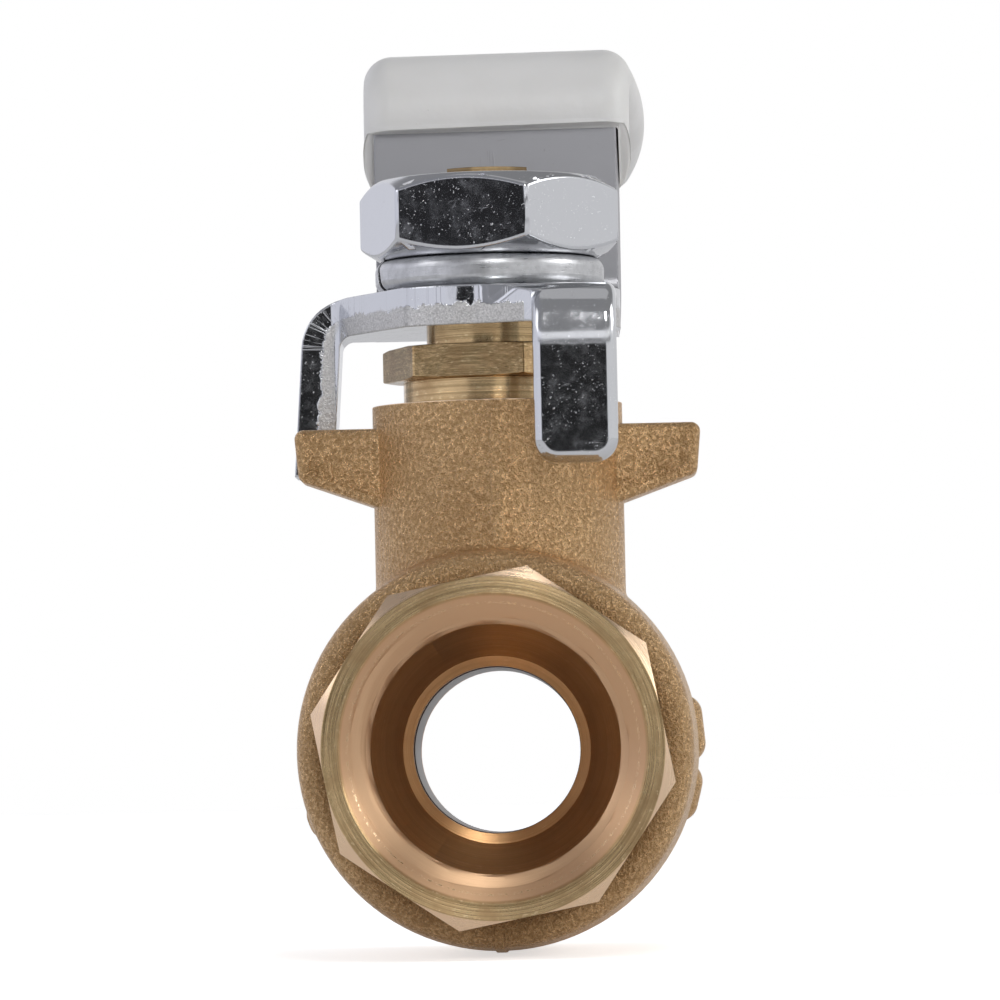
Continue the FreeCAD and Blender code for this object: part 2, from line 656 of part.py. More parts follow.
def make_spring_washer():
    """Split washer with rounded edges."""
    ring = stem_ring(SPRING_WASHER_R, STEM_R + 0.15, PLATE_TOP, NUT_BOTTOM)
    ring = fillet_where(ring, 0.9, is_outer_rim)
    gap = box((0, STEM_Y - 0.3, PLATE_TOP - 1), (FAR, STEM_Y + 0.3, NUT_BOTTOM + 1))
    gap.rotate(Vector(0, STEM_Y, (PLATE_TOP + NUT_BOTTOM) / 2), ALONG_X, 20)
    gap.rotate(STEM_AXIS, ALONG_Z, SPRING_WASHER_CUT)
    return ring.cut(gap)


def is_outer_rim(edge):
    """True for the circles at the washer's outside."""
    return edge.BoundBox.XLength > 2 * SPRING_WASHER_R - 1 and edge.BoundBox.ZLength < 0.01


def make_lever_nut():
    """Thin hexagon nut, chamfered on both faces."""
    blank = double_chamfered_hex(NUT_AF, NUT_TURN, NUT_BOTTOM, NUT_BOTTOM + NUT_HEIGHT,
                                 NUT_CHAMFER_R, NUT_CHAMFER_DROP, NUT_CORNER_ROUND)
    return blank.cut(stem_cylinder(STEM_R + 0.02, 0, FAR))


# ---------------------------------------------------------------- output

PIECES = {
    "body": make_body,
    "end_piece": make_end_piece,
    "body_o_ring": make_body_o_ring,
    "ball": make_ball,
    "seat_front": make_seat_front,
    "seat_rear": make_seat_rear,
    "stem": make_stem,
    "stem_o_ring": make_stem_o_ring,
    "thrust_washer": make_thrust_washer,
    "packing_lower": lambda: make_packing(0),
    "packing_upper": lambda: make_packing(1),
    "gland_washer": make_gland_washer,
    "gland_nut": make_gland_nut,
    "lever": make_lever,
    "grip_sleeve": make_grip_sleeve,
    "spring_washer": make_spring_washer,
    "lever_nut": make_lever_nut,
}

os.makedirs("parts", exist_ok=True)
for name, make in PIECES.items():
    shape = make()
    print(f"{name}: {len(shape.Solids)} solid, valid {shape.isValid()}, {shape.Volume:.1f} mm3")
    shape.exportStep(f"parts/{name}.step")
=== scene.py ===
"""Looks of the lever ball valve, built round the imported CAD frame.

Lengths are written in millimetres and turned into metres by MM. The frame is the CAD's: +Y along the
pipe from the inlet, +Z up the stem, origin at the centre of the inlet port's face.
"""
import math

import bmesh
import bpy
from mathutils import Matrix, Vector


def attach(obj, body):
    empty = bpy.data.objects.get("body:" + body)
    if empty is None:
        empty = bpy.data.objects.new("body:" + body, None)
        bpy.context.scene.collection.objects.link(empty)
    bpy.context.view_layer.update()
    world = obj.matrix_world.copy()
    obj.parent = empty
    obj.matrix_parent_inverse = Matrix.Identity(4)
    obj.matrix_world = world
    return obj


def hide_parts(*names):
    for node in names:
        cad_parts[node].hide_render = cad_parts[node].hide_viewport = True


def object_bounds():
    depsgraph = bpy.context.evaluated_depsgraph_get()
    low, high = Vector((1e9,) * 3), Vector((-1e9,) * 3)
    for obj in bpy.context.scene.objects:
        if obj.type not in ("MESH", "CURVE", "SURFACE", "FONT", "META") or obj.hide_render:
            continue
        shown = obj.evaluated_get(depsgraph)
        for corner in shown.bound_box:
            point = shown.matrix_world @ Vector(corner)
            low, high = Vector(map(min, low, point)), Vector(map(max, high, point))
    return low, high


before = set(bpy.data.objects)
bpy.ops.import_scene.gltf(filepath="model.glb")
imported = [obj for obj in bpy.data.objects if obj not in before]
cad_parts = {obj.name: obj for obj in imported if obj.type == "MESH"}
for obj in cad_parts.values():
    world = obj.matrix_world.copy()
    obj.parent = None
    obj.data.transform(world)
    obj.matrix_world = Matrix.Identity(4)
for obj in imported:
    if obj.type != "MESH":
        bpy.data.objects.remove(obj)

CAD_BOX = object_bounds()
MM = 0.001

# ---------------------------------------------------------------- sizes, in millimetres

STEM_Y = 28.0
LENGTH = 56.0

THREAD_MINOR_R = 9.32
THREAD_MAJOR_R = 10.48
THREAD_PITCH = 1.814
THREAD_START = 145.0          # degrees, where the first groove leaves the countersink
THREAD_RUN_OUT = 1.6
TURNED_SHARP = 24.0           # degrees, an edge of a threaded piece sharper than this stays crisp
PORT_MOUTH_R = 11.33
PORT_DEPTH = 13.0
PORT_CONE_END = 16.8
PORT_CONE_R = 7.05
WATERWAY_R = 6.3
WATERWAY_START = 17.2
SEAT_BACK = 18.6
SEAT_OUTER_R = 9.2
NOSE_END = 20.8
NOSE_CHAMFER = 0.4
BODY_THREAD_R = 11.4
O_RING_GROOVE = (17.0, 18.4)
O_RING_GROOVE_R = 10.25
NECK_MOUTH_Z = 26.44          # above this the neck is turned
NECK_BORE_R = 7.05
NECK_BORE_FLOOR_Z = 11.0

OCTAGON_AF = 25.0
OCTAGON_LENGTH = 10.0
OCTAGON_CHAMFER_R = 12.5
OCTAGON_TURN = 33.4           # degrees
OCTAGON_CHAMFER_SLOPE = math.tan(math.radians(30))

PLATE = 3.0
RISER_FOOT = (40.5, 33.7)     # (y, z) of the arm's centre line
RISER_HEAD = (41.5, 53.1)
GRIP_BEND_R = 3.5
GRIP_SHEAR = math.tan(math.radians(1.3))
GRIP_TIP_Y = 125.0
GRIP_WAIST = 9.5
GRIP_BELLY = 10.2
GRIP_TIP_R = 8.3
GRIP_TIP_BULGE = 0.75         # length of the tip's closing arc, as a share of GRIP_TIP_R
GRIP_TIP_START_Y = GRIP_TIP_Y - GRIP_TIP_BULGE * GRIP_TIP_R
GRIP_CAP_R = GRIP_TIP_R * (1 + GRIP_TIP_BULGE ** 2) / (2 * GRIP_TIP_BULGE)
GRIP_WAIST_Y = 39.0
GRIP_BELLY_Y = 73.0
GRIP_SHIFT = 0.25
SLEEVE_WALL = 1.0
SLEEVE_THINNING = 0.13        # leaves room for the tilt inside the CAD sleeve
SLEEVE_GAP = 0.02             # between the sheet and the sleeve's inside
SLEEVE_TILT = 0.012           # the dip ran thicker at the upper right
SLEEVE_MOUTH = 48.9
SLEEVE_MOUTH_SLOPE = 1.40
SLEEVE_CORNER_R = 2.25
SLEEVE_END_ROUND = 2.6
SLEEVE_LIP = 0.4
SLEEVE_SWAY = 0.12
FILM_EDGE = 0.09              # the thin film of vinyl below the lip
FILM_DROP = 0.14

HUB_EDGE_R = 11.7             # just outside the hub's rounded front
SIDE_LEG_X = -8.0             # the side leg lies left of this
SIDE_LEG_BACK_Y = 38.0
RISER_FRONT = (37.0, 38.2)    # y where the polished hub gives way to the dull riser
BREAK_RISE = (1.45, 1.60)     # a sheared edge is torn below this height and smooth above it
LEG_SPLAY = math.tan(math.radians(4))
LEG_INNER_X = -11.6           # inner face of the side leg at its bend
BEND_R = 0.9                  # inside radius of the leg bends
PLATE_BOTTOM = 32.2
BEND_X = LEG_INNER_X + BEND_R
BEND_Z = PLATE_BOTTOM - BEND_R


# ---------------------------------------------------------------- node materials

class Finish:
    """A node material built up from short calls. Sockets and plain values can both be passed in."""

    def __init__(self, name):
        self.material = bpy.data.materials.new(name)
        self.material.use_nodes = True
        self.tree = self.material.node_tree
        self.tree.nodes.clear()
        self.shader = self.tree.nodes.new("ShaderNodeBsdfPrincipled")
        output = self.tree.nodes.new("ShaderNodeOutputMaterial")
        self.tree.links.new(self.shader.outputs["BSDF"], output.inputs["Surface"])
        coordinates = self.tree.nodes.new("ShaderNodeTexCoord")
        self.place = self.vector("MULTIPLY", coordinates.outputs["Object"], (1 / MM,) * 3)
        self.x, self.y, self.z = self.split(self.place)

    def feed(self, socket, value):
        """Links or sets one input."""
        if isinstance(value, bpy.types.NodeSocket):
            self.tree.links.new(value, socket)
        elif isinstance(value, tuple) and len(value) == 3 and socket.type == "RGBA":
            socket.default_value = (*value, 1.0)
        else:
            socket.default_value = value

    def set(self, **values):
        """Shader inputs by name, with underscores for spaces."""
        for name, value in values.items():
            self.feed(self.shader.inputs[name.replace("_", " ")], value)

    def math(self, operation, *values):
        node = self.tree.nodes.new("ShaderNodeMath")
        node.operation = operation
        for socket, value in zip(node.inputs, values):
            self.feed(socket, value)
        return node.outputs[0]

    def vector(self, operation, *values):
        node = self.tree.nodes.new("ShaderNodeVectorMath")
        node.operation = operation
        for socket, value in zip(node.inputs, values):
            self.feed(socket, value)
        return node.outputs["Value" if operation in ("LENGTH", "DOT_PRODUCT", "DISTANCE") else "Vector"]

    def split(self, vector):
        node = self.tree.nodes.new("ShaderNodeSeparateXYZ")
        self.feed(node.inputs[0], vector)
        return tuple(node.outputs)

    def join(self, x, y, z):
        node = self.tree.nodes.new("ShaderNodeCombineXYZ")
        for socket, value in zip(node.inputs, (x, y, z)):
            self.feed(socket, value)
        return node.outputs[0]

    def facing(self):
        """The surface's own normal, as three numbers in the object's frame."""
        geometry = self.tree.nodes.new("ShaderNodeTexCoord")
        return self.split(geometry.outputs["Normal"])

    def grain(self, scale, detail=2.0, roughness=0.5, place=None):
        """Fractal noise from 0 to 1, scale being its features per millimetre."""
        node = self.tree.nodes.new("ShaderNodeTexNoise")
        self.feed(node.inputs["Vector"], self.place if place is None else place)
        self.feed(node.inputs["Scale"], scale)
        self.feed(node.inputs["Detail"], detail)
        self.feed(node.inputs["Roughness"], roughness)
        return node.outputs[0]

    def cells(self, scale, place=None, feature="F1"):
        """Distance in Voronoi cells, scale being their number per millimetre."""
        node = self.tree.nodes.new("ShaderNodeTexVoronoi")
        node.feature = feature
        self.feed(node.inputs["Vector"], self.place if place is None else place)
        self.feed(node.inputs["Scale"], scale)
        return node.outputs["Distance"]

    def span(self, value, low, high, start=0.0, end=1.0):
        """value from low..high taken to start..end, clamped."""
        node = self.tree.nodes.new("ShaderNodeMapRange")
        for name, number in zip(("Value", "From Min", "From Max", "To Min", "To Max"),
                                (value, low, high, start, end)):
            self.feed(node.inputs[name], number)
        return node.outputs[0]

    def blend(self, share, first, second):
        """Two colours mixed."""
        node = self.tree.nodes.new("ShaderNodeMix")
        node.data_type = "RGBA"
        self.feed(node.inputs[0], share)
        self.feed(node.inputs[6], first)
        self.feed(node.inputs[7], second)
        return node.outputs[2]

    def mix(self, share, first, second):
        """Two numbers mixed."""
        node = self.tree.nodes.new("ShaderNodeMix")
        self.feed(node.inputs[0], share)
        self.feed(node.inputs[2], first)
        self.feed(node.inputs[3], second)
        return node.outputs[0]

    def bump(self, height, depth, normal=None):
        """A normal from a 0-to-1 height, depth being its size in millimetres."""
        node = self.tree.nodes.new("ShaderNodeBump")
        self.feed(node.inputs["Height"], height)
        self.feed(node.inputs["Distance"], depth * MM)
        if normal is not None:
            self.feed(node.inputs["Normal"], normal)
        return node.outputs[0]

    def across_grooves(self, across, centre=0.0):
        """World direction square to turned grooves round an axis, along the surface."""
        x, y, z = self.x, self.math("SUBTRACT", self.y, centre), self.z
        if across == "xz":
            round_axis = self.join(self.math("MULTIPLY", z, -1.0), 0.0, x)
        else:
            round_axis = self.join(self.math("MULTIPLY", y, -1.0), x, 0.0)
        turn = self.tree.nodes.new("ShaderNodeVectorTransform")
        turn.vector_type, turn.convert_from, turn.convert_to = "VECTOR", "OBJECT", "WORLD"
        self.feed(turn.inputs[0], round_axis)
        normal = self.tree.nodes.new("ShaderNodeNewGeometry").outputs["Normal"]
        return self.vector("NORMALIZE", self.vector("CROSS_PRODUCT", turn.outputs[0], normal))

    def eased_edges(self, radius):
        """The surface's normal with edges rounded to radius millimetres."""
        node = self.tree.nodes.new("ShaderNodeBevel")
        node.samples = 8
        self.feed(node.inputs["Radius"], radius * MM)
        return node.outputs[0]

    def ring_place(self, across, along_axis, centre=0.0):
        """Radius and axial place round an axis, for lathe marks. across names the two cross axes."""
        axes = {"x": self.x, "y": self.math("SUBTRACT", self.y, centre), "z": self.z}
        u, v = axes[across[0]], axes[across[1]]
        radius = self.math("SQRT", self.math("ADD", self.math("MULTIPLY", u, u),
                                             self.math("MULTIPLY", v, v)))
        return radius, axes[along_axis], self.math("ARCTAN2", v, u)


BRASS_LIGHT = (0.74, 0.53, 0.29)
BRASS_LINE = (0.34, 0.24, 0.115)
# painted highlight colour for the glints along the tool lines
PAINTED_GLINT_BRASS = (0.98, 0.80, 0.50)
BRASS_DARK = (0.33, 0.195, 0.09)
FORGED_PEAK = (0.78, 0.52, 0.275)
FORGED_HOLLOW = (0.47, 0.295, 0.14)
FORGED_STAIN = (0.38, 0.225, 0.105)
OCTAGON_SHADE_AND_OXIDE = (0.20, 0.115, 0.05)   # painted shade, with some oxide stain, in the corners behind the octagons
OCTAGON_SHADE_R = 14.4
THREAD_SKIN = (0.76, 0.50, 0.30)
CHAMFER_SKIN = (0.82, 0.60, 0.41)
CONE_SKIN = (0.72, 0.40, 0.18)
# a torn burr's colour, its bright dots painted glints
BURR_AND_GLINT = (0.95, 0.74, 0.48)
BURR_R = 10.65                # where the countersink breaks into the first groove
GROOVE_STRETCH = 0.85         # how much more grooves scatter light across than along
CHROME = (0.61, 0.62, 0.64)
NUT_CHROME = (0.60, 0.61, 0.635)
BALL_CHROME = (0.62, 0.61, 0.60)
WORN_CHROME = (0.72, 0.72, 0.73)
ROLLED_SHEET = (0.34, 0.34, 0.355)
# dull plating in the ball's bore, darkened with painted shade
DULL_SHADED_BORE = (0.17, 0.145, 0.13)
DRAGGED_STEEL = (0.25, 0.24, 0.24)
TORN_STEEL = ((0.40, 0.395, 0.39), (0.70, 0.69, 0.675))
ZINC = ((0.46, 0.465, 0.475), (0.60, 0.605, 0.62))
VINYL = ((0.665, 0.66, 0.64), (0.715, 0.71, 0.695))


def lathe_marks(finish, radius, along, turn):
    """Fine tool lines, the same all the way round but for a slow wander. Returns (fine, broad)."""
    wander = finish.math("MULTIPLY", finish.math("SINE", turn), 0.15)
    line = finish.join(radius, finish.math("ADD", along, wander), wander)
    fine = finish.grain(9.0, 3.0, 0.7, finish.vector("MULTIPLY", line, (1.0, 1.0, 0.2)))
    broad = finish.grain(2.2, 2.0, 0.6, line)
    return fine, broad


def machined_look(finish, across, axis, centre=0.0, gloss=0.0):
    """Colour, roughness and bump of turned brass about an axis, with painted glints along the tool lines.
    gloss makes it smoother.
    """
    radius, along, turn = finish.ring_place(across, axis, centre)
    fine, broad = lathe_marks(finish, radius, along, turn)
    cloud = finish.grain(0.35, 3.0, 0.6)
    tone = finish.math("ADD", finish.math("MULTIPLY", fine, 0.55), finish.math("MULTIPLY", broad, 0.45))
    colour = finish.blend(finish.span(tone, 0.38, 0.62), BRASS_LINE, BRASS_LIGHT)
    colour = finish.blend(finish.span(cloud, 0.45, 0.65, 0.0, 0.50), colour, BRASS_DARK)
    # painted glints: bright specks along the tool lines stand in for highlights
    painted_glints = finish.math("MULTIPLY", finish.span(finish.grain(2.2, 3.0, 0.7), 0.56, 0.66, 0.0, 0.7),
                         finish.span(fine, 0.50, 0.58))
    colour = finish.blend(painted_glints, colour, PAINTED_GLINT_BRASS)
    rough = finish.span(finish.math("ADD", fine, cloud), 0.7, 1.3, 0.22 - gloss, 0.34 - gloss)
    normal = finish.bump(fine, 0.012 * (1.0 - 3 * gloss))
    normal = finish.bump(broad, 0.022 * (1.0 - 3 * gloss), normal)
    return colour, rough, normal


def forged_look(finish):
    """Colour, roughness and bump of a shot-blasted hot forging, with painted shade in the corners behind
    the octagons.
    """
    coarse = finish.grain(1.5, 3.0, 0.6)
    granules = finish.grain(3.6, 3.0, 0.65)
    sparkle = finish.grain(8.0, 2.0, 0.6, finish.vector("ADD", finish.place, (3.1, 0.7, 1.9)))
    stain = finish.grain(0.16, 4.0, 0.62)
    peaks = finish.span(granules, 0.42, 0.60)
    colour = finish.blend(peaks, FORGED_HOLLOW, FORGED_PEAK)
    colour = finish.blend(finish.span(stain, 0.42, 0.72, 0.0, 0.40), colour, FORGED_STAIN)
    radius = finish.ring_place("xz", "y")[0]
    shoulders = finish.math("MULTIPLY", finish.math("GREATER_THAN", finish.y, OCTAGON_LENGTH - 0.1),
                            finish.math("LESS_THAN", finish.y, LENGTH - OCTAGON_LENGTH + 0.1))
    # painted shade with some oxide stain: the shoulders are darker close to the octagons
    near_octagon = finish.span(radius, OCTAGON_CHAMFER_R, OCTAGON_SHADE_R, 0.8, 0.0)
    shade_and_oxide = finish.math("MULTIPLY", near_octagon, shoulders)
    colour = finish.blend(shade_and_oxide, colour, OCTAGON_SHADE_AND_OXIDE)
    rough = finish.span(granules, 0.35, 0.65, 0.42, 0.18)
    normal = finish.bump(coarse, 0.08)
    normal = finish.bump(granules, 0.34, normal)
    normal = finish.bump(sparkle, 0.12, normal)
    return colour, rough, normal


def thread_look(finish, turned, face_y, inward):
    """Turned brass with a port's own touches laid over it.

    The thread has a duller skin, the cone behind it a redder one, and the octagon's chamfer a paler one. A
    torn burr runs where the countersink breaks into the thread, its bright dots painted glints. face_y is
    the port's face and inward the sign of y going in.
    """
    colour, rough, normal = turned
    radius = finish.ring_place("xz", "y")[0]
    depth = finish.math("MULTIPLY", finish.math("SUBTRACT", finish.y, face_y), inward)
    inside = finish.span(radius, PORT_MOUTH_R - 0.05, PORT_MOUTH_R - 0.25)
    threaded = finish.math("MULTIPLY", inside, finish.span(depth, PORT_DEPTH - 0.6, PORT_DEPTH - 1.2))
    behind = finish.math("MULTIPLY", inside, finish.math("SUBTRACT", 1.0, threaded))
    colour = finish.blend(threaded, colour, THREAD_SKIN)
    colour = finish.blend(finish.math("MULTIPLY", behind, 0.75), colour, CONE_SKIN)
    # the torn burr is drawn as a bright dotted line: painted glints on a real edge
    off_burr = finish.math("ABSOLUTE", finish.math("SUBTRACT", radius, BURR_R))
    burr_glints = finish.span(off_burr, 0.03, 0.10, 1.0, 0.0)
    burr_glints = finish.math("MULTIPLY", burr_glints, finish.span(finish.grain(5.0, 2.0, 0.6), 0.50, 0.60))
    colour = finish.blend(burr_glints, colour, BURR_AND_GLINT)
    rim = finish.span(radius, OCTAGON_CHAMFER_R, OCTAGON_CHAMFER_R + 0.08)
    colour = finish.blend(rim, colour, CHAMFER_SKIN)
    rough = finish.mix(threaded, rough, 0.46)
    rough = finish.mix(burr_glints, rough, 0.22)
    rough = finish.mix(behind, rough, 0.34)
    return colour, rough, normal


def mixed_brass(name, machined, port):
    """Forged brass, turned where machined(finish) is 1. port is (the face's y, the sign of y going in)."""
    finish = Finish(name)
    share = machined(finish)
    forged = forged_look(finish)
    turned = thread_look(finish, machined_look(finish, "xz", "y"), *port)
    finish.set(Metallic=1.0,
               Base_Color=finish.blend(share, forged[0], turned[0]),
               Roughness=finish.mix(share, forged[1], turned[1]),
               Anisotropic=finish.math("MULTIPLY", share, GROOVE_STRETCH),
               Tangent=finish.across_grooves("xz"))
    normal = finish.tree.nodes.new("ShaderNodeMix")
    normal.data_type = "VECTOR"
    finish.feed(normal.inputs[0], share)
    finish.feed(normal.inputs[4], forged[2])
    finish.feed(normal.inputs[5], turned[2])
    finish.set(Normal=normal.outputs[1])
    return finish.material


def port_surfaces(finish, face_y, inward):
    """1 on the faces, chamfers, threads and bores of a port, 0 on the forged flanks."""
    radius = finish.ring_place("xz", "y")[0]
    depth = finish.math("MULTIPLY", finish.math("SUBTRACT", finish.y, face_y), inward)
    beyond = finish.math("MAXIMUM", finish.math("SUBTRACT", radius, OCTAGON_CHAMFER_R), 0.0)
    cone = finish.math("MULTIPLY", beyond, OCTAGON_CHAMFER_SLOPE)
    on_chamfer = finish.math("LESS_THAN", depth, finish.math("ADD", cone, 0.06))
    in_bore = finish.math("LESS_THAN", radius, BODY_THREAD_R + 0.05)
    return finish.math("MAXIMUM", on_chamfer, in_bore)


def body_machined(finish):
    """1 on the body's outlet port, the neck's mouth and the stem's bore."""
    ports = port_surfaces(finish, LENGTH, -1.0)
    neck_mouth = finish.math("GREATER_THAN", finish.z, NECK_MOUTH_Z)
    stem_radius = finish.ring_place("xy", "z", STEM_Y)[0]
    neck_bore = finish.math("MULTIPLY", finish.math("LESS_THAN", stem_radius, NECK_BORE_R),
                            finish.math("GREATER_THAN", finish.z, NECK_BORE_FLOOR_Z))
    return finish.math("MAXIMUM", ports, finish.math("MAXIMUM", neck_mouth, neck_bore))


def turned_brass(name, gloss):
    """Brass turned all over about the stem's axis."""
    finish = Finish(name)
    colour, rough, normal = machined_look(finish, "xy", "z", STEM_Y, gloss)
    finish.set(Metallic=1.0, Base_Color=colour, Roughness=rough, Normal=normal,
               Anisotropic=GROOVE_STRETCH, Tangent=finish.across_grooves("xy", STEM_Y))
    return finish.material


def scratches(finish, scale, share):
    """Sparse thin straight marks, 0 to 1, from stretched cells turned three ways."""
    total = None
    for turn, shift in ((0.5, 0.0), (1.9, 7.3), (2.7, 13.1)):
        rotate = finish.tree.nodes.new("ShaderNodeVectorRotate")
        rotate.rotation_type = "EULER_XYZ"
        finish.feed(rotate.inputs["Vector"], finish.vector("ADD", finish.place, (shift, shift, shift)))
        rotate.inputs["Rotation"].default_value = (turn, turn * 0.7, turn * 1.3)
        streak = finish.vector("MULTIPLY", rotate.outputs[0], (0.16 * scale, 2.6 * scale, 0.9 * scale))
        line = finish.span(finish.cells(1.0, streak, feature="DISTANCE_TO_EDGE"), 0.0, 0.035, 1.0, 0.0)
        gate = finish.span(finish.grain(0.5, 1.0, 0.5, streak), share, share + 0.08)
        mark = finish.math("MULTIPLY", line, gate)
        total = mark if total is None else finish.math("MAXIMUM", total, mark)
    return total


def pitted_chrome(name, tint=CHROME, pits_share=0.66, edge_r=0.12, sheared=None, satin=None,
                  satin_tint=ROLLED_SHEET):
    """Plated steel: mirror-like, with faint waves, sparse pits and rubs.

    satin(finish) is 1 where the plating is dull, and has satin_tint. sheared(finish) gives a sheared
    edge's break and its drag marks, both from 0 to 1. edge_r rounds the edges in the shading.
    """
    finish = Finish(name)
    wave = finish.grain(0.45, 2.0, 0.5)
    speck = finish.grain(5.5, 3.0, 0.6)
    patch = finish.grain(0.5, 2.0, 0.6, finish.vector("ADD", finish.place, (5.0, 2.0, 9.0)))
    pits = finish.math("MULTIPLY", finish.span(speck, pits_share, pits_share + 0.07),
                       finish.span(patch, 0.44, 0.58))
    marks = finish.math("MULTIPLY", scratches(finish, 0.7, 0.68), 0.3)
    smudge = finish.grain(0.9, 4.0, 0.65)
    worn = finish.math("MAXIMUM", finish.math("MULTIPLY", pits, 0.6), marks)
    colour = finish.blend(worn, tint, WORN_CHROME)
    rough = finish.span(smudge, 0.40, 0.70, 0.06, 0.155)
    rough = finish.mix(worn, rough, 0.34)
    if satin is not None:
        rolled = satin(finish)
        rough = finish.mix(rolled, rough, 0.36)
        colour = finish.blend(rolled, colour, satin_tint)
    normal = finish.bump(wave, 0.010, finish.eased_edges(edge_r))
    normal = finish.bump(pits, 0.02, normal)
    normal = finish.bump(marks, 0.004, normal)
    if sheared is not None:
        broken, drag = sheared(finish)
        crystals = finish.grain(3.2, 4.0, 0.7)
        flecks = finish.span(finish.grain(7.0, 4.0, 0.7), 0.35, 0.65)
        rubble = finish.blend(flecks, *TORN_STEEL)
        colour = finish.blend(finish.math("MULTIPLY", drag, 0.35), colour, DRAGGED_STEEL)
        colour = finish.blend(broken, colour, rubble)
        rough = finish.mix(drag, rough, 0.30)
        rough = finish.mix(broken, rough, 0.36)
        normal = finish.bump(drag, 0.02, normal)
        normal = finish.bump(finish.math("MULTIPLY", crystals, broken), 0.09, normal)
    finish.set(Metallic=1.0, Base_Color=colour, Roughness=rough, Normal=normal)
    return finish.material


def lever_satin(finish):
    """1 on the riser and the grip, which lie behind the hub."""
    return finish.span(finish.y, *RISER_FRONT)


def lever_sheared(finish):
    """(break, drag marks) of the hub's and side leg's sheared edges.

    Both follow the sheet round its bend: rise is how far a point lies above the sheet's lower face.
    """
    splay = finish.math("MULTIPLY", finish.math("SUBTRACT", BEND_Z, finish.z), LEG_SPLAY)
    out = finish.math("SUBTRACT", finish.math("SUBTRACT", BEND_X, finish.x), splay)
    out = finish.math("MAXIMUM", out, 0.0)
    up = finish.math("MAXIMUM", finish.math("SUBTRACT", finish.z, BEND_Z), 0.0)
    square = finish.join(finish.math("MULTIPLY", out, -1.0), 0.0, up)
    rise = finish.math("SUBTRACT", finish.vector("LENGTH", square), BEND_R)
    square = finish.vector("NORMALIZE", square)
    flat_side = finish.math("ABSOLUTE", finish.vector("DOT_PRODUCT", square, finish.join(*finish.facing())))
    on_edge = finish.span(flat_side, 0.30, 0.45, 1.0, 0.0)
    hub = finish.math("LESS_THAN", finish.ring_place("xy", "z", STEM_Y)[0], HUB_EDGE_R)
    leg = finish.math("MULTIPLY", finish.math("LESS_THAN", finish.x, SIDE_LEG_X),
                      finish.math("LESS_THAN", finish.y, SIDE_LEG_BACK_Y))
    where = finish.math("MULTIPLY", on_edge, finish.math("MAXIMUM", hub, leg))
    ragged = finish.math("MULTIPLY", finish.math("SUBTRACT", finish.grain(1.1, 3.0, 0.6), 0.5), 1.3)
    broken = finish.span(finish.math("ADD", rise, ragged), *BREAK_RISE, 1.0, 0.0)
    remaining = finish.math("SUBTRACT", PLATE, rise)
    to_top = finish.vector("MULTIPLY", square, finish.join(remaining, remaining, remaining))
    along = finish.vector("ADD", finish.place, to_top)
    lines = finish.span(finish.grain(5.0, 2.0, 0.6, along), 0.54, 0.70)
    patches = finish.span(finish.grain(0.30, 2.0, 0.5, along), 0.50, 0.60)
    in_bend = finish.math("MULTIPLY", finish.span(out, 0.0, 0.3), finish.span(up, 0.0, 0.3))
    drag = finish.math("MULTIPLY", lines, finish.math("MAXIMUM", patches, in_bend))
    drag = finish.math("MULTIPLY", drag, 0.4)
    return finish.math("MULTIPLY", where, broken), finish.math("MULTIPLY", where, drag)


def ball_bore(finish):
    """1 in the ball's bore, where the plating is dull; its colour there is darkened with painted shade."""
    return finish.math("LESS_THAN", finish.ring_place("xz", "y")[0], WATERWAY_R + 0.05)


def satin_zinc():
    """The spring washer's drawn, zinc-plated steel."""
    finish = Finish("satin_zinc")
    drawn = finish.grain(1.0, 3.0, 0.6, finish.vector("MULTIPLY", finish.place, (0.5, 0.5, 7.0)))
    cloud = finish.grain(1.2, 3.0, 0.6)
    colour = finish.blend(finish.span(cloud, 0.35, 0.7), *ZINC)
    rough = finish.span(drawn, 0.3, 0.7, 0.24, 0.42)
    normal = finish.bump(drawn, 0.015)
    finish.set(Metallic=1.0, Base_Color=colour, Roughness=rough, Normal=normal)
    return finish.material


def dipped_vinyl():
    """Cream dipped vinyl: satin, with faint sags from dipping and a few dust nibs."""
    finish = Finish("dipped_vinyl")
    sag = finish.grain(0.12, 2.0, 0.5)
    peel = finish.grain(1.4, 2.0, 0.45)
    nibs = finish.span(finish.cells(0.55), 0.06, 0.0)
    colour = finish.blend(finish.span(sag, 0.35, 0.65), *VINYL)
    rough = finish.span(peel, 0.3, 0.7, 0.34, 0.44)
    normal = finish.bump(peel, 0.02)
    normal = finish.bump(nibs, 0.03, normal)
    finish.set(Base_Color=colour, Roughness=rough, Normal=normal)
    finish.set(Subsurface_Weight=0.12, Subsurface_Scale=0.6 * MM, Subsurface_Radius=(1.0, 0.9, 0.75))
    return finish.material


def ptfe():
    """White sealing plastic, faintly mottled."""
    finish = Finish("ptfe")
    mottled = finish.grain(1.8, 3.0, 0.6)
    colour = finish.blend(mottled, (0.74, 0.74, 0.72), (0.84, 0.84, 0.82))
    finish.set(Base_Color=colour, Roughness=finish.span(mottled, 0.3, 0.7, 0.4, 0.55),
               Normal=finish.bump(mottled, 0.01))
    return finish.material


def nitrile():
    """Black rubber with a little dust."""
    finish = Finish("nitrile")
    dust = finish.grain(3.0, 3.0, 0.6)
    colour = finish.blend(finish.span(dust, 0.45, 0.75), (0.012, 0.012, 0.013), (0.05, 0.05, 0.052))
    finish.set(Base_Color=colour, Roughness=finish.span(dust, 0.3, 0.7, 0.42, 0.6),
               Normal=finish.bump(dust, 0.012))
    return finish.material


# ---------------------------------------------------------------- mesh helpers

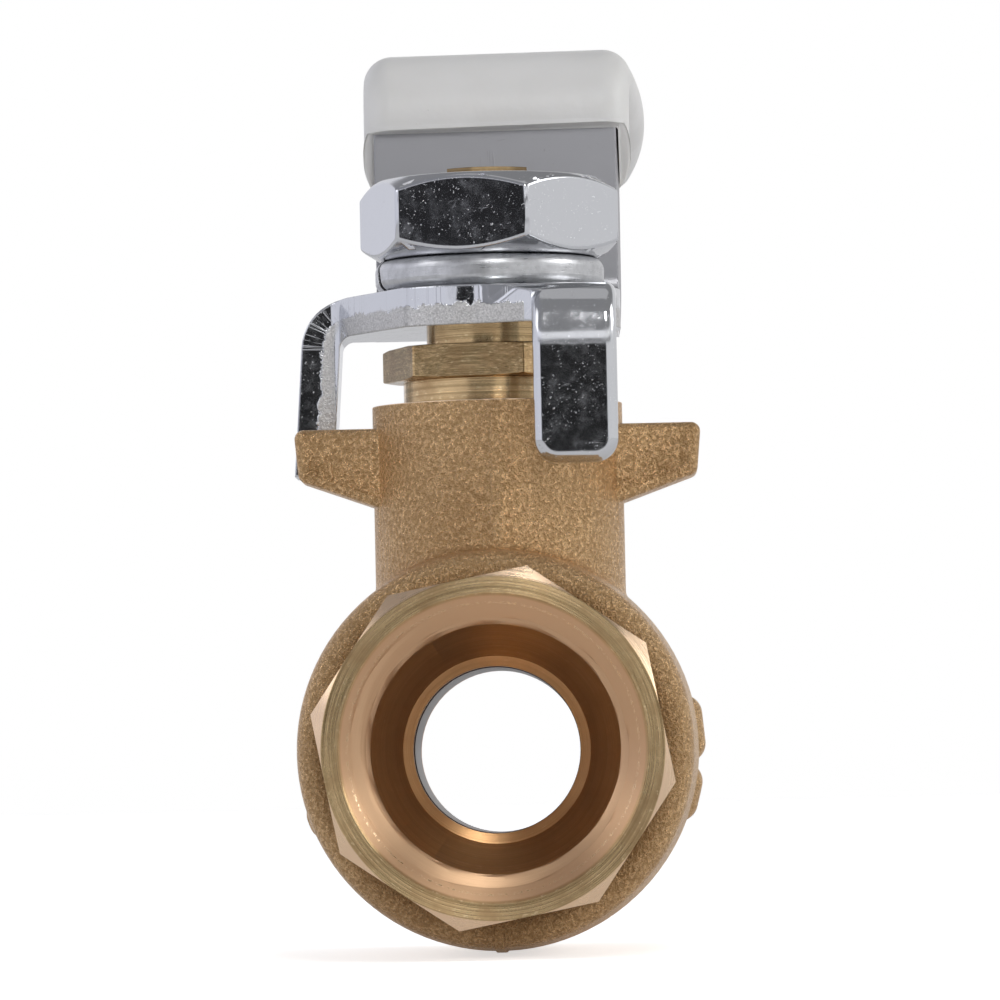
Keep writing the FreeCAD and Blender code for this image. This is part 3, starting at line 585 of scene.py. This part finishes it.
def new_piece(name, verts, faces, material, body, sharp_angle):
    """A closed mesh piece from points in millimetres."""
    mesh = bpy.data.meshes.new(name)
    mesh.from_pydata([tuple(c * MM for c in v) for v in verts], [], faces)
    return place_piece(name, mesh, material, body, sharp_angle)


def place_piece(name, mesh, material, body, sharp_angle=35.0):
    """Puts a mesh in the scene as a piece of a body, welded and facing outwards."""
    obj = bpy.data.objects.new(name, mesh)
    bpy.context.scene.collection.objects.link(obj)
    welded = bmesh.new()
    welded.from_mesh(mesh)
    bmesh.ops.remove_doubles(welded, verts=welded.verts, dist=1e-7)
    bmesh.ops.recalc_face_normals(welded, faces=welded.faces)
    welded.to_mesh(mesh)
    welded.free()
    shade(mesh, sharp_angle)
    mesh.materials.clear()
    mesh.materials.append(material)
    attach(obj, body)
    return obj


def shade(mesh, sharp_angle):
    """Smooth shading, broken at edges sharper than sharp_angle degrees."""
    mesh.polygons.foreach_set("use_smooth", [True] * len(mesh.polygons))
    mesh.set_sharp_from_angle(angle=math.radians(sharp_angle))


def refined(node, name, material, body, edge_r=0.0, segments=3, edge_angle=40.0):
    """A copy of a CAD node's shape, joined up, with its sharp edges softened to edge_r millimetres."""
    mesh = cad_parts[node].data.copy()
    mesh.name = name
    joined = bmesh.new()
    joined.from_mesh(mesh)
    bmesh.ops.remove_doubles(joined, verts=joined.verts, dist=1e-6)
    bmesh.ops.dissolve_limit(joined, angle_limit=math.radians(0.3), verts=joined.verts, edges=joined.edges)
    plain = bpy.data.meshes.new(name)
    joined.to_mesh(plain)
    joined.free()
    bpy.data.meshes.remove(mesh)
    obj = place_piece(name, plain, material, body)
    if edge_r:
        bevel = obj.modifiers.new("edges", "BEVEL")
        bevel.width = edge_r * MM
        bevel.segments = segments
        bevel.use_clamp_overlap = False
        bevel.limit_method = "ANGLE"
        bevel.angle_limit = math.radians(edge_angle)
        bevel.harden_normals = True
    even = obj.modifiers.new("flat_faces", "WEIGHTED_NORMAL")
    even.keep_sharp = True
    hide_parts(node)
    return obj


def ring_grid(rows):
    """Faces joining closed rings of points, each to the next and the last back to the first."""
    count = len(rows[0])
    faces = []
    for r in range(len(rows)):
        after = (r + 1) % len(rows)
        for k in range(count):
            right = (k + 1) % count
            faces.append((r * count + k, r * count + right, after * count + right, after * count + k))
    return [point for row in rows for point in row], faces


def join_rings(rings, flip):
    """Faces along a run of open rings, with a cap on the last one."""
    count = len(rings[0])
    verts = [point for ring in rings for point in ring]
    faces = []
    for r in range(len(rings) - 1):
        for k in range(count):
            right = (k + 1) % count
            faces.append((r * count + k, r * count + right, (r + 1) * count + right, (r + 1) * count + k))
    last = (len(rings) - 1) * count
    faces.append(tuple(range(last, last + count)))
    if flip:
        faces = [tuple(reversed(face)) for face in faces]
    return verts, faces


# ---------------------------------------------------------------- end piece with its thread

def octagon_r(turn):
    """Distance from the axis to the octagon's flank at an angle in degrees."""
    from_flat = (turn - OCTAGON_TURN) % 45.0 - 22.5
    return OCTAGON_AF / 2 / math.cos(math.radians(from_flat))


def groove_r(depth, turn):
    """Radius of the thread's helical groove, depth millimetres in from the face."""
    phase = depth / THREAD_PITCH - (turn - THREAD_START) / 360.0
    wave = 0.5 - 0.5 * math.cos(2 * math.pi * phase)
    groove = min(1.0, max(0.0, wave * 1.15 - 0.12))
    fade = min(1.0, max(0.0, (PORT_DEPTH - depth) / THREAD_RUN_OUT))
    return THREAD_MINOR_R + (THREAD_MAJOR_R - THREAD_MINOR_R) * groove * fade


def thread_r(depth, turn):
    """Radius of the port's inner surface: the thread, or the countersink where that is wider."""
    return max(groove_r(depth, turn), PORT_MOUTH_R - depth)


def port_ring(radius, depth, turns):
    """One ring of points; radius and depth may be functions of the angle."""
    points = []
    for turn in turns:
        r = radius(turn) if callable(radius) else radius
        y = depth(turn) if callable(depth) else depth
        a = math.radians(turn)
        points.append((r * math.cos(a), y, r * math.sin(a)))
    return points


def chamfer_depth(turn):
    """How far the octagon's chamfer reaches from the face at an angle in degrees."""
    return max(0.0, octagon_r(turn) - OCTAGON_CHAMFER_R) * OCTAGON_CHAMFER_SLOPE


def make_end_piece():
    """The inlet's end piece, one closed surface of rings with the thread in its bore."""
    segments, step = 360, 0.13
    turns = [OCTAGON_TURN + 360.0 * k / segments for k in range(segments)]
    steps = int(PORT_DEPTH / step)
    groove_start, groove_end = O_RING_GROOVE
    rows = [port_ring(PORT_MOUTH_R, 0.0, turns)]
    for k in range(1, steps):
        depth = k * step
        rows.append(port_ring(lambda turn, d=depth: thread_r(d, turn), depth, turns))
    inside = [(THREAD_MINOR_R, PORT_DEPTH), (PORT_CONE_R, PORT_CONE_END), (WATERWAY_R, WATERWAY_START),
              (WATERWAY_R, SEAT_BACK), (SEAT_OUTER_R, SEAT_BACK), (SEAT_OUTER_R, NOSE_END),
              (BODY_THREAD_R - NOSE_CHAMFER, NOSE_END), (BODY_THREAD_R, NOSE_END - NOSE_CHAMFER),
              (BODY_THREAD_R, groove_end), (O_RING_GROOVE_R, groove_end),
              (O_RING_GROOVE_R, groove_start), (BODY_THREAD_R, groove_start),
              (BODY_THREAD_R, OCTAGON_LENGTH)]
    rows += [port_ring(radius, depth, turns) for radius, depth in inside]
    rows.append(port_ring(octagon_r, OCTAGON_LENGTH, turns))
    rows.append(port_ring(octagon_r, lambda turn: chamfer_depth(turn) + 0.02, turns))
    rows.append(port_ring(OCTAGON_CHAMFER_R, 0.0, turns))
    material = mixed_brass("end_brass", lambda finish: port_surfaces(finish, 0.0, 1.0), (0.0, 1.0))
    verts, faces = ring_grid(rows)
    obj = new_piece("threaded_end", verts, faces, material, "valve_body", TURNED_SHARP)
    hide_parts("end_piece")
    return obj


def outlet_groove():
    """A closed plug whose helical ridge cuts the outlet's thread."""
    segments, step, start, ease = 180, 0.15, -0.6, 0.05
    turns = [360.0 * k / segments for k in range(segments)]
    rows = []
    for k in range(int((PORT_DEPTH - start) / step) + 2):
        depth = start + k * step
        rows.append(port_ring(lambda turn, d=depth: groove_r(d, turn) - ease, LENGTH - depth, turns))
    verts, faces = join_rings(rows, False)
    faces.append(tuple(reversed(range(segments))))
    mesh = bpy.data.meshes.new("outlet_groove")
    mesh.from_pydata([tuple(c * MM for c in v) for v in verts], [], faces)
    outward = bmesh.new()
    outward.from_mesh(mesh)
    bmesh.ops.recalc_face_normals(outward, faces=outward.faces)
    outward.to_mesh(mesh)
    outward.free()
    return mesh


def make_body():
    """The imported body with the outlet's thread cut into it."""
    material = mixed_brass("forged_brass", body_machined, (LENGTH, -1.0))
    body = refined("body", "body_threaded", material, "valve_body")
    cutter = bpy.data.objects.new("outlet_groove", outlet_groove())
    bpy.context.scene.collection.objects.link(cutter)
    body.modifiers.clear()
    cut = body.modifiers.new("thread", "BOOLEAN")
    cut.operation, cut.solver, cut.object = "DIFFERENCE", "EXACT", cutter
    shaped = body.evaluated_get(bpy.context.evaluated_depsgraph_get())
    mesh = bpy.data.meshes.new_from_object(shaped)
    mesh.name = "body_threaded"
    body.modifiers.clear()
    body.data = mesh
    bpy.data.objects.remove(cutter)
    shade(mesh, TURNED_SHARP)


# ---------------------------------------------------------------- dipped sleeve

def arm_path():
    """(point, outward normal, share) along the sheet's centre line from the mouth to the tip."""
    foot, head = Vector(RISER_FOOT), Vector(RISER_HEAD)
    up = (head - foot).normalized()
    along = Vector((1.0, 0.0))
    turn = up.angle(along)
    reach = GRIP_BEND_R * math.tan(turn / 2)
    bend_start = head - up * reach
    front = Vector((-up.y, up.x))
    centre = bend_start - front * GRIP_BEND_R
    mouth = foot + up * ((SLEEVE_MOUTH - foot.y) / up.y)
    stations = []
    straight = (bend_start - mouth).length
    rise_steps, bend_steps, grip_steps = 10, 14, 90
    for k in range(rise_steps):
        stations.append((mouth + up * (straight * k / rise_steps), front, k / rise_steps))
    for k in range(bend_steps):
        angle = turn * k / bend_steps
        ray = Vector((front.x * math.cos(-angle) - front.y * math.sin(-angle),
                      front.x * math.sin(-angle) + front.y * math.cos(-angle)))
        stations.append((centre + ray * GRIP_BEND_R, ray, 1.0))
    grip_start = head.x + reach
    for k in range(grip_steps + 1):
        share = math.sin(math.pi / 2 * k / grip_steps)
        place = Vector((grip_start + (GRIP_TIP_Y - grip_start) * share, head.y))
        stations.append((place, Vector((0.0, 1.0)), 1.0))
    return stations


def grip_half_width(y, margin):
    """Half width, where it crosses y, of an outline that runs margin outside the bare sheet's."""
    if y >= GRIP_TIP_START_Y:
        inside = (GRIP_CAP_R + margin) ** 2 - (y - (GRIP_TIP_Y - GRIP_CAP_R)) ** 2
        return math.sqrt(max(inside, 0.0))
    y = max(y, GRIP_WAIST_Y)
    places = ((GRIP_WAIST_Y, GRIP_WAIST), (GRIP_BELLY_Y, GRIP_BELLY), (GRIP_TIP_START_Y, GRIP_TIP_R))
    total = 0.0
    for place, width in places:
        share = 1.0
        for other, _ in places:
            if other != place:
                share *= (y - other) / (place - other)
        total += width * share
    return total + margin


def rounded_rectangle(half_width, half_depth, corner_r, count):
    """Points round a rectangle with rounded corners, evenly shared between its corners."""
    corner_r = min(corner_r, half_width, half_depth)
    points = []
    for k in range(count):
        quarter, step = divmod(k, count // 4)
        angle = math.pi / 2 * (quarter + step / (count // 4 - 1))
        across = 1 if quarter in (0, 3) else -1
        up = 1 if quarter in (0, 1) else -1
        points.append((across * (half_width - corner_r) + corner_r * math.cos(angle),
                       up * (half_depth - corner_r) + corner_r * math.sin(angle)))
    return points


def sleeve_ring(station, margin, corner_r, drop=0.0, tilt=1.0):
    """A ring of the sleeve round the arm's sheet, margin outside it.

    A station's share is 0 at the mouth and 1 at the riser's head: the mouth slopes down to the back, so
    rings near it do too. drop moves the ring down the riser, and tilt lifts its right side.
    """
    centre, outward, share = station
    end_gap = max(0.0, GRIP_TIP_Y + margin - centre.x)
    closing = min(1.0, math.sqrt(end_gap / SLEEVE_END_ROUND))
    half_width = grip_half_width(centre.x, margin)
    half_depth = (PLATE / 2 + margin) * closing
    up_riser = Vector((outward.y, -outward.x))
    points = []
    for across, up in rounded_rectangle(half_width, half_depth, corner_r, 120):
        slope = SLEEVE_MOUTH_SLOPE * max(0.0, PLATE / 2 - up) * (1.0 - share)
        sway = SLEEVE_SWAY * math.sin(0.5 * across + 0.8) * (1.0 - share)
        place = centre + outward * up - up_riser * (slope + drop + sway)
        shift = GRIP_SHIFT + (place.x - STEM_Y) * GRIP_SHEAR
        points.append((across + shift, place.x, place.y + SLEEVE_TILT * across * tilt))
    return points


def make_sleeve():
    """Dipped sleeve: a thin film, then a rolled lip at the mouth, the skin, and a closed tip."""
    stations = arm_path()
    skin = SLEEVE_WALL - SLEEVE_THINNING
    outer = [sleeve_ring(stations[0], 0.04, 0.3, FILM_DROP, 0.0),
             sleeve_ring(stations[0], 0.07, 0.4, FILM_DROP - 0.07, 0.0),
             sleeve_ring(stations[0], FILM_EDGE, 0.5, 0.02, 0.0)]
    for share in (0.15, 0.4, 0.7, 0.9, 1.0):
        rise = SLEEVE_LIP * (1.0 - math.sqrt(1.0 - share ** 2))
        margin = FILM_EDGE + (skin - FILM_EDGE + 0.04) * share
        outer.append(sleeve_ring(stations[0], margin, SLEEVE_CORNER_R * share, -rise))
    for k, station in enumerate(stations[1:]):
        lip = 0.08 * math.exp(-(k / 2.0) ** 2)
        outer.append(sleeve_ring(station, skin + lip, SLEEVE_CORNER_R))
    tip, tip_outward, share = stations[-1]
    for reach in (0.3, 0.55, 0.75, 0.9, 0.98):
        centre = tip + Vector((skin * reach, 0.0))
        outer.append(sleeve_ring((centre, tip_outward, share), skin, SLEEVE_CORNER_R))
    inner = [sleeve_ring(stations[0], SLEEVE_GAP, 0.1, FILM_DROP, 0.0)]
    inner += [sleeve_ring(station, SLEEVE_GAP, 0.1, 0.0, 0.0) for station in stations[1:]]
    verts, faces = join_rings(outer, False)
    start = len(verts)
    inner_verts, inner_faces = join_rings(inner, True)
    verts += inner_verts
    faces += [tuple(index + start for index in face) for face in inner_faces]
    count = len(outer[0])
    for k in range(count):
        right = (k + 1) % count
        faces.append((k, start + k, start + right, right))
    obj = new_piece("vinyl_sleeve", verts, faces, dipped_vinyl(), "handle", 60.0)
    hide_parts("grip_sleeve")
    return obj


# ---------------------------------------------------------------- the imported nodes' finishes

def repaint(node, material):
    """Gives a CAD node its finish; its shape stays as packed."""
    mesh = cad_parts[node].data
    mesh.materials.clear()
    mesh.materials.append(material)


def dress_valve():
    """Every piece of the valve: new shapes for some nodes, finishes for the rest."""
    make_body()
    make_end_piece()
    make_sleeve()
    stem_brass = turned_brass("stem_brass", 0.12)
    gland_brass = turned_brass("gland_brass", 0.08)
    refined("gland_nut", "gland_nut_edged", gland_brass, "valve_body", 0.10, 2, 25.0)
    repaint("stem", stem_brass)
    repaint("gland_washer", stem_brass)
    repaint("ball", pitted_chrome("ball_chrome", BALL_CHROME, 0.70, satin=ball_bore, satin_tint=DULL_SHADED_BORE))
    lever_chrome = pitted_chrome("lever_chrome", edge_r=0.25, sheared=lever_sheared, satin=lever_satin)
    refined("lever", "lever_edged", lever_chrome, "handle")
    nut_chrome = pitted_chrome("nut_chrome", NUT_CHROME)
    refined("lever_nut", "lever_nut_edged", nut_chrome, "handle", 0.20, 3, 20.0)
    repaint("spring_washer", satin_zinc())
    white = ptfe()
    for node in ("seat_front", "seat_rear", "thrust_washer", "packing_lower", "packing_upper"):
        repaint(node, white)
    black = nitrile()
    for node in ("body_o_ring", "stem_o_ring"):
        repaint(node, black)


# ---------------------------------------------------------------- studio

FLOOR_BOUNCE = (0.80, 0.80, 0.80)     # the paper's colour in reflections
FLOOR_GLOW = 0.60                     # its emission as the camera sees it
FLOOR_LIT = 0.12                      # and in reflections
OPENING_SIDES = (-0.53, 0.087)        # radians round from straight ahead, positive to the right
OPENING_TOP = 0.16                    # heights are slopes above the horizon
STRIP = (0.23, 0.34)                  # a brighter band above the opening
STRIP_LEVEL = 0.88
FRONT_HALF_WIDTH = 0.9
TENT_SIDE = 0.95
TENT_TOP = 0.33
KEY_TOWARDS = (0.6, -0.4, 0.7)        # the tent is a little brighter this way
KEY_SHARE = 0.12
TENT_LEFT = (0.95, 0.96, 1.06, 1.0)
TENT_RIGHT = (0.84, 0.84, 0.85, 1.0)
FLOOR_HALF = 6000.0
LAMPS = (                             # name, place and size in metres, power in watts
    ("left_softbox", (-1.6, -0.7, 1.0), (0.9, 0.9), 3.0),
    ("right_softbox", (1.7, -0.2, 0.9), (0.9, 0.9), 8.0),
    ("top_softbox", (0.1, 0.3, 2.0), (1.2, 1.2), 1.2),
    ("front_softbox", (0.13, -0.80, 0.60), (0.14, 0.34), 2.0),
)
CAMERA_PLACE = (9.26, -500.0, -3.22)
CAMERA_LEFT = 0.958                   # degrees off the pipe's axis
CAMERA_UP = 2.436
CAMERA_ROLL = 1.25
CAMERA_LENS = 247.5
CAMERA_SENSOR = 36.0


def make_floor():
    size, low = FLOOR_HALF, CAD_BOX[0].z / MM - 0.05
    mesh = bpy.data.meshes.new("floor")
    corners = [(-size, -size, low), (size, -size, low), (size, size, low), (-size, size, low)]
    mesh.from_pydata([tuple(c * MM for c in corner) for corner in corners], [], [(0, 1, 2, 3)])
    floor = bpy.data.objects.new("floor", mesh)
    bpy.context.scene.collection.objects.link(floor)
    finish = Finish("floor_paper")
    fibre = finish.grain(0.8, 3.0, 0.6)
    seen = finish.tree.nodes.new("ShaderNodeLightPath").outputs["Is Camera Ray"]
    paper = finish.blend(fibre, (0.93, 0.93, 0.93), (0.95, 0.95, 0.95))
    finish.set(Base_Color=finish.blend(seen, FLOOR_BOUNCE, paper), Roughness=0.7, Specular_IOR_Level=0.1,
               Emission_Color=(1.0, 1.0, 1.0), Emission_Strength=finish.mix(seen, FLOOR_LIT, FLOOR_GLOW))
    mesh.materials.append(finish.material)


def world_node(tree, kind, **settings):
    node = tree.nodes.new(kind)
    for name, value in settings.items():
        setattr(node, name, value)
    return node


def make_world():
    """A light tent: bright sides, a grey top, and the dark opening that the camera looks in through."""
    world = bpy.data.worlds.new("studio")
    bpy.context.scene.world = world
    world.use_nodes = True
    tree = world.node_tree
    tree.nodes.clear()
    link = tree.links.new
    direction = tree.nodes.new("ShaderNodeTexCoord").outputs["Generated"]
    parts = tree.nodes.new("ShaderNodeSeparateXYZ")
    link(direction, parts.inputs[0])
    x, y, z = parts.outputs

    def math_node(operation, first, second=0.0):
        node = world_node(tree, "ShaderNodeMath", operation=operation)
        for socket, value in zip(node.inputs, (first, second)):
            if isinstance(value, bpy.types.NodeSocket):
                link(value, socket)
            else:
                socket.default_value = value
        return node.outputs[0]

    def window(value, low, high, start=0.0, end=1.0):
        node = world_node(tree, "ShaderNodeMapRange", interpolation_type="SMOOTHSTEP")
        link(value, node.inputs["Value"])
        for name, number in zip(("From Min", "From Max", "To Min", "To Max"), (low, high, start, end)):
            node.inputs[name].default_value = number
        return node.outputs[0]

    def band(value, low, high, soft):
        rise = window(value, low - soft, low + soft)
        return math_node("MULTIPLY", rise, window(value, high - soft, high + soft, 1.0, 0.0))

    azimuth = math_node("ARCTAN2", x, math_node("MULTIPLY", y, -1.0))
    across = math_node("SQRT", math_node("ADD", math_node("MULTIPLY", x, x), math_node("MULTIPLY", y, y)))
    height = math_node("DIVIDE", z, math_node("MAXIMUM", across, 0.02))
    opening = math_node("MULTIPLY", band(azimuth, *OPENING_SIDES, 0.035),
                        window(height, OPENING_TOP - 0.01, OPENING_TOP + 0.01, 1.0, 0.0))
    front = band(azimuth, -FRONT_HALF_WIDTH, FRONT_HALF_WIDTH, 0.2)
    grey = math_node("MAXIMUM", window(z, 0.45, 0.60),
                     math_node("MULTIPLY", front, window(height, OPENING_TOP, OPENING_TOP + 0.02)))
    strip = math_node("MULTIPLY", front, band(height, *STRIP, 0.015))
    level = math_node("ADD", TENT_SIDE, math_node("MULTIPLY", grey, TENT_TOP - TENT_SIDE))
    level = math_node("ADD", level, math_node("MULTIPLY", strip, STRIP_LEVEL))
    level = math_node("MULTIPLY", level, math_node("SUBTRACT", 1.0, math_node("MULTIPLY", opening, 0.97)))
    towards_key = world_node(tree, "ShaderNodeVectorMath", operation="DOT_PRODUCT")
    link(direction, towards_key.inputs[0])
    towards_key.inputs[1].default_value = KEY_TOWARDS
    key = math_node("ADD", 1.0, math_node("MULTIPLY", towards_key.outputs["Value"], KEY_SHARE))
    level = math_node("MULTIPLY", level, key)
    tint = world_node(tree, "ShaderNodeMix", data_type="RGBA")
    link(window(x, -0.9, 0.3), tint.inputs[0])
    tint.inputs[6].default_value = TENT_LEFT
    tint.inputs[7].default_value = TENT_RIGHT
    lit = world_node(tree, "ShaderNodeBackground")
    link(tint.outputs[2], lit.inputs["Color"])
    link(level, lit.inputs["Strength"])
    seen = world_node(tree, "ShaderNodeBackground")
    seen.inputs["Color"].default_value = (1.0, 1.0, 1.0, 1.0)
    seen.inputs["Strength"].default_value = 1.0
    choose = world_node(tree, "ShaderNodeMixShader")
    link(tree.nodes.new("ShaderNodeLightPath").outputs["Is Camera Ray"], choose.inputs[0])
    link(lit.outputs[0], choose.inputs[1])
    link(seen.outputs[0], choose.inputs[2])
    output = world_node(tree, "ShaderNodeOutputWorld")
    link(choose.outputs[0], output.inputs["Surface"])


def make_lamp(name, place, aim, size, power):
    """A soft rectangular lamp turned to face aim."""
    data = bpy.data.lights.new(name, "AREA")
    data.shape = "RECTANGLE"
    data.size, data.size_y = size
    data.energy = power
    lamp = bpy.data.objects.new(name, data)
    lamp.location = place
    lamp.rotation_mode = "QUATERNION"
    lamp.rotation_quaternion = (Vector(aim) - Vector(place)).to_track_quat("-Z", "Y")
    bpy.context.scene.collection.objects.link(lamp)


def make_lamps():
    middle = (CAD_BOX[0] + CAD_BOX[1]) / 2
    for name, place, size, power in LAMPS:
        make_lamp(name, place, middle, size, power)


def make_camera():
    """The camera stands half a metre in front of the inlet face, a little right of and below its axis."""
    place = Vector(CAMERA_PLACE) * MM
    aside, upward = math.tan(math.radians(CAMERA_LEFT)), math.tan(math.radians(CAMERA_UP))
    forward = Vector((-aside, 1.0, upward)).normalized()
    lean = math.radians(CAMERA_ROLL)
    right = Vector((math.cos(lean), 0.0, -math.sin(lean)))
    right = (right - forward * right.dot(forward)).normalized()
    up = right.cross(forward)
    data = bpy.data.cameras.new("camera")
    data.lens, data.sensor_width = CAMERA_LENS, CAMERA_SENSOR
    data.clip_start, data.clip_end = 0.05, 20.0
    camera = bpy.data.objects.new("camera", data)
    camera.matrix_world = Matrix.Translation(place) @ Matrix((right, up, -forward)).transposed().to_4x4()
    bpy.context.scene.collection.objects.link(camera)
    bpy.context.scene.camera = camera


bpy.context.scene.view_settings.view_transform = "Standard"
make_camera()
dress_valve()
make_floor()
make_world()
make_lamps()
